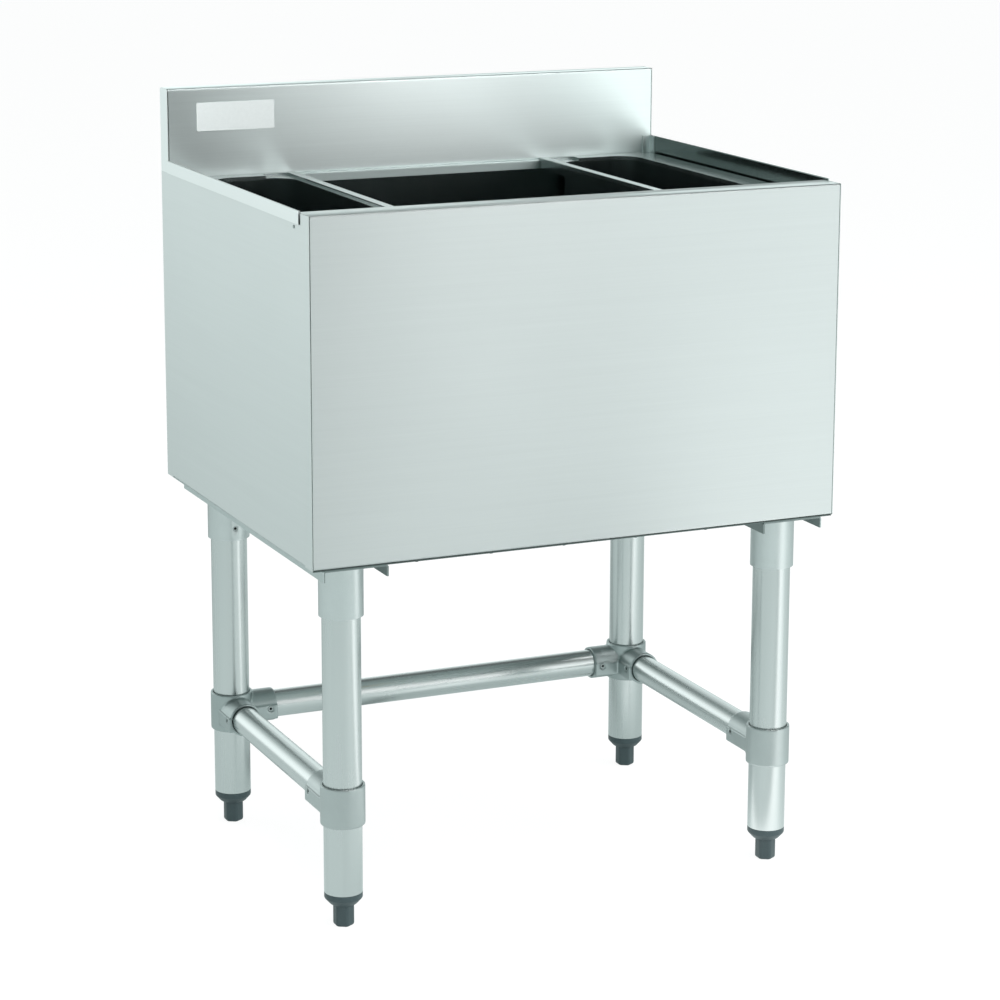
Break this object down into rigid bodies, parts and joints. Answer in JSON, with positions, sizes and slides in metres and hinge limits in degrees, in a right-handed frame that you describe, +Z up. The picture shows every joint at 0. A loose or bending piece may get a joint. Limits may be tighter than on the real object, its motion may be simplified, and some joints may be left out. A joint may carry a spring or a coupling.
{
  "type": "underbar ice bin",
  "caption": "Insulated stainless steel ice bin with a low backsplash and lift-out bottle wells at both ends, on a tube leg frame with adjustable feet.",
  "frame": {"origin": "on the floor, under the centre of the body's width and depth", "axes": "+Z up, +X to the right as seen from the front, +Y to the back, where the backsplash is"},
  "size_m": [0.6096, 0.4732, 0.8509],
  "materials": {
    "shell_steel": "satin",
    "liner_steel": "satin",
    "zinc_steel": "matte",
    "tube_steel": "satin",
    "socket_steel": "matte",
    "cast_fitting": "matte",
    "foot_plastic": "matte",
    "drain_brass": "satin",
    "black_rubber": "matte",
    "dark_screws": "satin",
    "plate_steel": "satin",
    "foam": "matte"
  },
  "bodies": {
    "bin": {"back_left_foot_insert": "foot_plastic", "back_left_leg": "tube_steel", "back_left_leg_socket": "socket_steel", "back_left_rail_fitting": "cast_fitting", "back_panel": "zinc_steel", "back_rail": "tube_steel", "back_right_foot_insert": "foot_plastic", "back_right_leg": "tube_steel", "back_right_leg_socket": "socket_steel", "back_right_rail_fitting": "cast_fitting", "backsplash": "shell_steel", "blank_plate": "plate_steel", "bottom_panel": "zinc_steel", "channel_bolts": "zinc_steel", "channel_nuts": "zinc_steel", "drain_body": "drain_brass", "drain_gasket": "black_rubber", "drain_locknut": "drain_brass", "drain_washer": "black_rubber", "flange_rivets": "dark_screws", "front_ledge": "shell_steel", "front_left_foot_insert": "foot_plastic", "front_left_leg": "tube_steel", "front_left_leg_socket": "socket_steel", "front_left_rail_fitting": "cast_fitting", "front_panel": "shell_steel", "front_right_foot_insert": "foot_plastic", "front_right_leg": "tube_steel", "front_right_leg_socket": "socket_steel", "front_right_rail_fitting": "cast_fitting", "hem_rivets": "dark_screws", "ice_liner": "liner_steel", "insulation": "foam", "left_corner_tab": "shell_steel", "left_end_cap": "shell_steel", "left_leg_channel": "zinc_steel", "left_side_panel": "shell_steel", "left_side_rail": "tube_steel", "rail_set_screws": "dark_screws", "rear_ledge": "shell_steel", "right_corner_tab": "shell_steel", "right_end_cap": "shell_steel", "right_leg_channel": "zinc_steel", "right_side_panel": "shell_steel", "right_side_rail": "tube_steel", "socket_set_screws": "dark_screws"},
    "left_well": {"left_bottle_well": "liner_steel"},
    "right_well": {"right_bottle_well": "liner_steel"},
    "strainer": {"drain_strainer": "liner_steel"},
    "front_left_foot_screw": {"front_left_foot": "foot_plastic"},
    "front_right_foot_screw": {"front_right_foot": "foot_plastic"},
    "back_left_foot_screw": {"back_left_foot": "foot_plastic"},
    "back_right_foot_screw": {"back_right_foot": "foot_plastic"}
  },
  "joints": [
    {"name": "left_well_lift", "type": "slide", "parent": "bin", "child": "left_well", "axis": [0, 0, 1], "range_m": [0, 0.23]},
    {"name": "right_well_lift", "type": "slide", "parent": "bin", "child": "right_well", "axis": [0, 0, 1], "range_m": [0, 0.23]},
    {"name": "strainer_lift", "type": "slide", "parent": "bin", "child": "strainer", "axis": [0, 0, 1], "range_m": [0, 0.012]},
    {"name": "front_left_foot_height", "type": "slide", "parent": "bin", "child": "front_left_foot_screw", "axis": [0, 0, -1], "range_m": [0, 0.022]},
    {"name": "front_right_foot_height", "type": "slide", "parent": "bin", "child": "front_right_foot_screw", "axis": [0, 0, -1], "range_m": [0, 0.022]},
    {"name": "back_left_foot_height", "type": "slide", "parent": "bin", "child": "back_left_foot_screw", "axis": [0, 0, -1], "range_m": [0, 0.022]},
    {"name": "back_right_foot_height", "type": "slide", "parent": "bin", "child": "back_right_foot_screw", "axis": [0, 0, -1], "range_m": [0, 0.022]}
  ]
}
